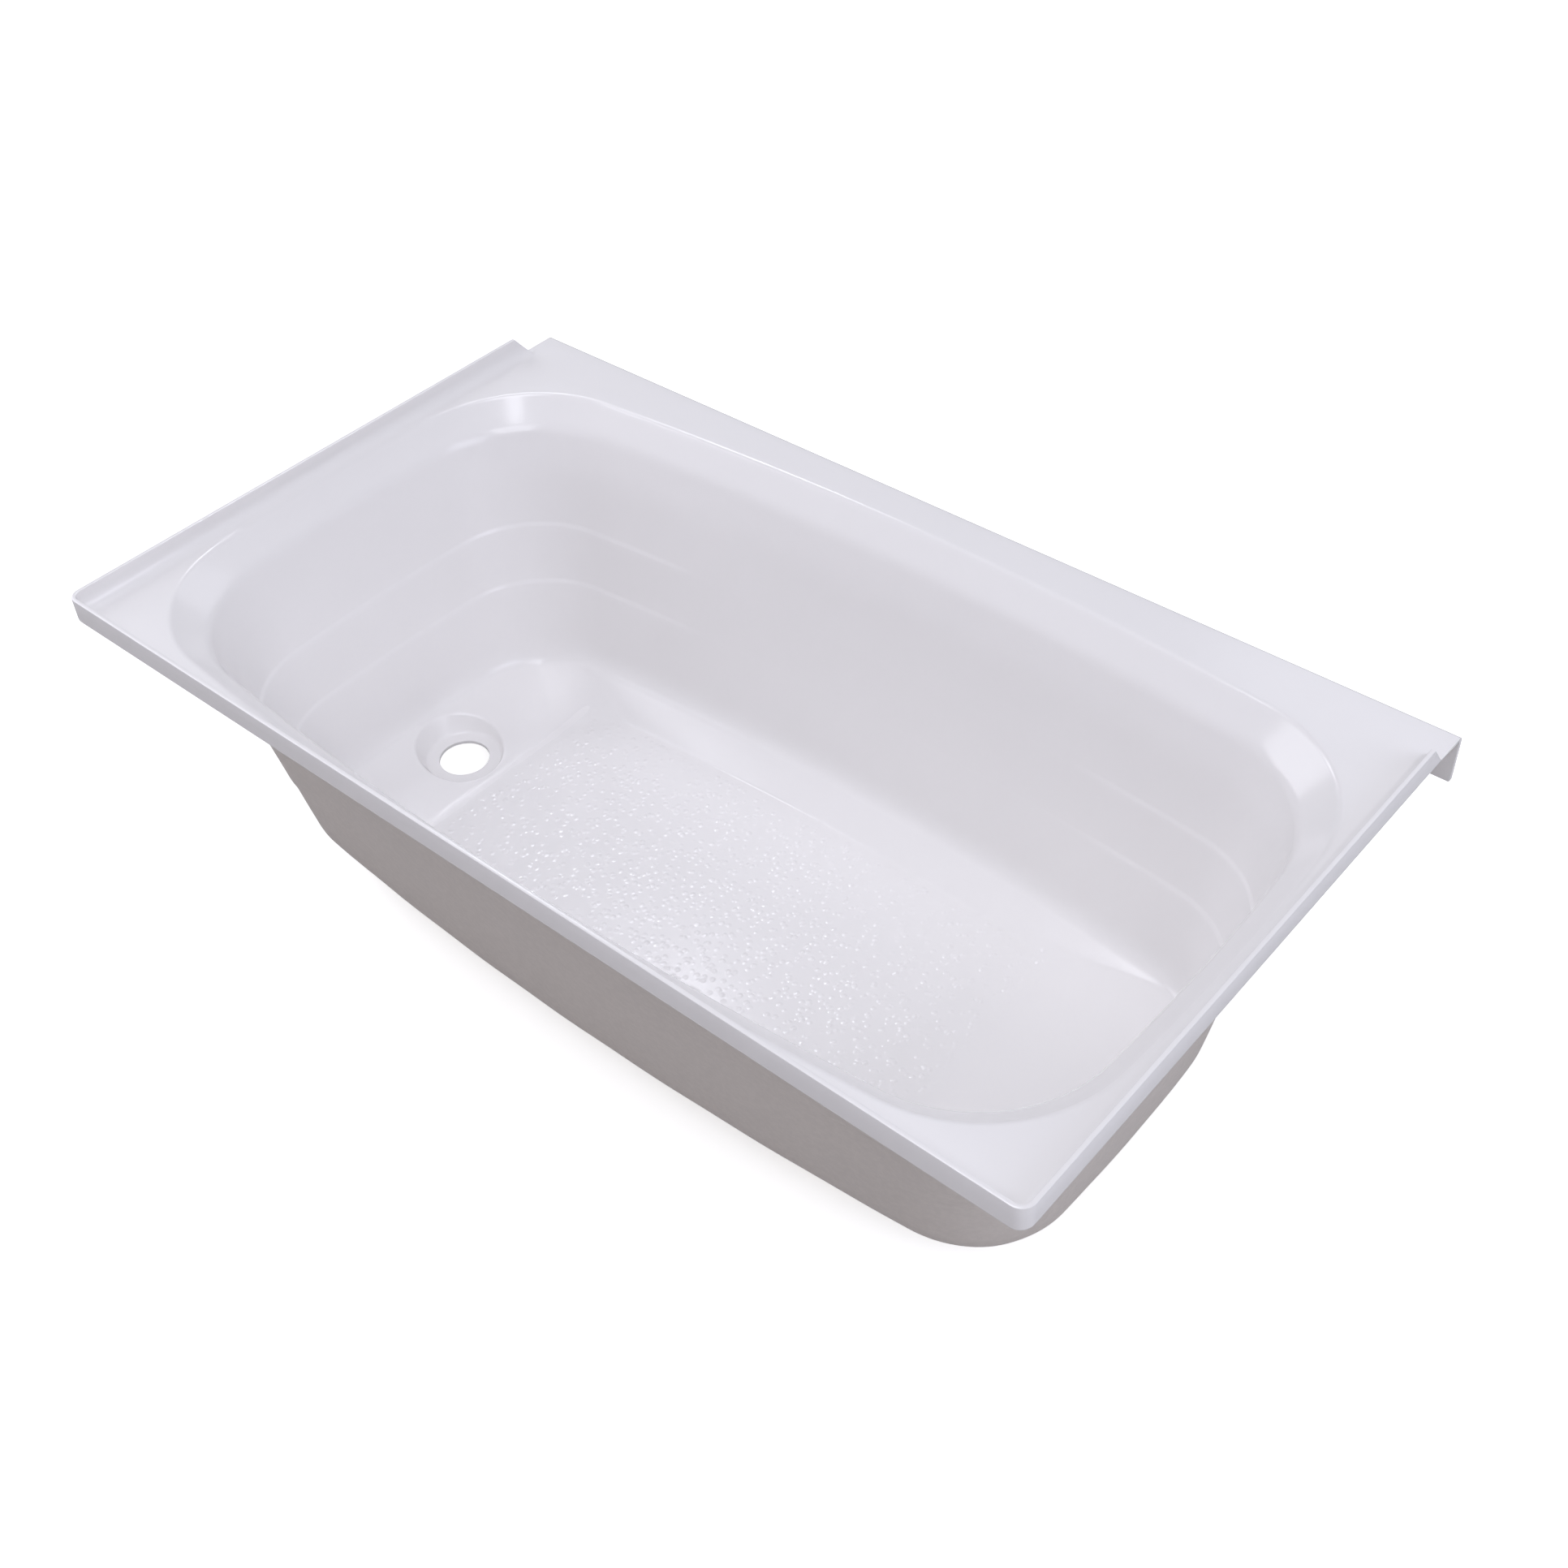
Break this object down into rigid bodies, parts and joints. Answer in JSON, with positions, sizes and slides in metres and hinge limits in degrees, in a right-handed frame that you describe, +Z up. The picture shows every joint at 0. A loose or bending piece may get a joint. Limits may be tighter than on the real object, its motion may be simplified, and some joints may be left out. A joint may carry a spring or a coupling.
{
  "type": "recreational vehicle bathtub",
  "caption": "Shallow drop-in bathtub of formed sheet, with an upstanding tiling flange against the walls, a downturned apron lip and a drain hole at its low end.",
  "frame": {"origin": "middle of the tub's outline, at the height of the surface that the bearers stand on", "axes": "+X along the tub from the drain end to the back end, +Y from the wall side to the apron side, +Z up"},
  "size_m": [1.016, 0.592, 0.3446],
  "materials": {
    "tub_sheet": "glossy white formed sheet, pebbled on the basin's floor",
    "laminate": "dull grey-brown glass-fibre laminate with a rolled surface",
    "board": "raw plywood",
    "bearers": "sawn softwood"
  },
  "bodies": {
    "root": {"tub_shell": "tub_sheet", "basin_laminate": "laminate", "floor_board": "board", "drain_end_bearer": "bearers", "middle_bearer": "bearers", "back_end_bearer": "bearers"}
  },
  "joints": []
}
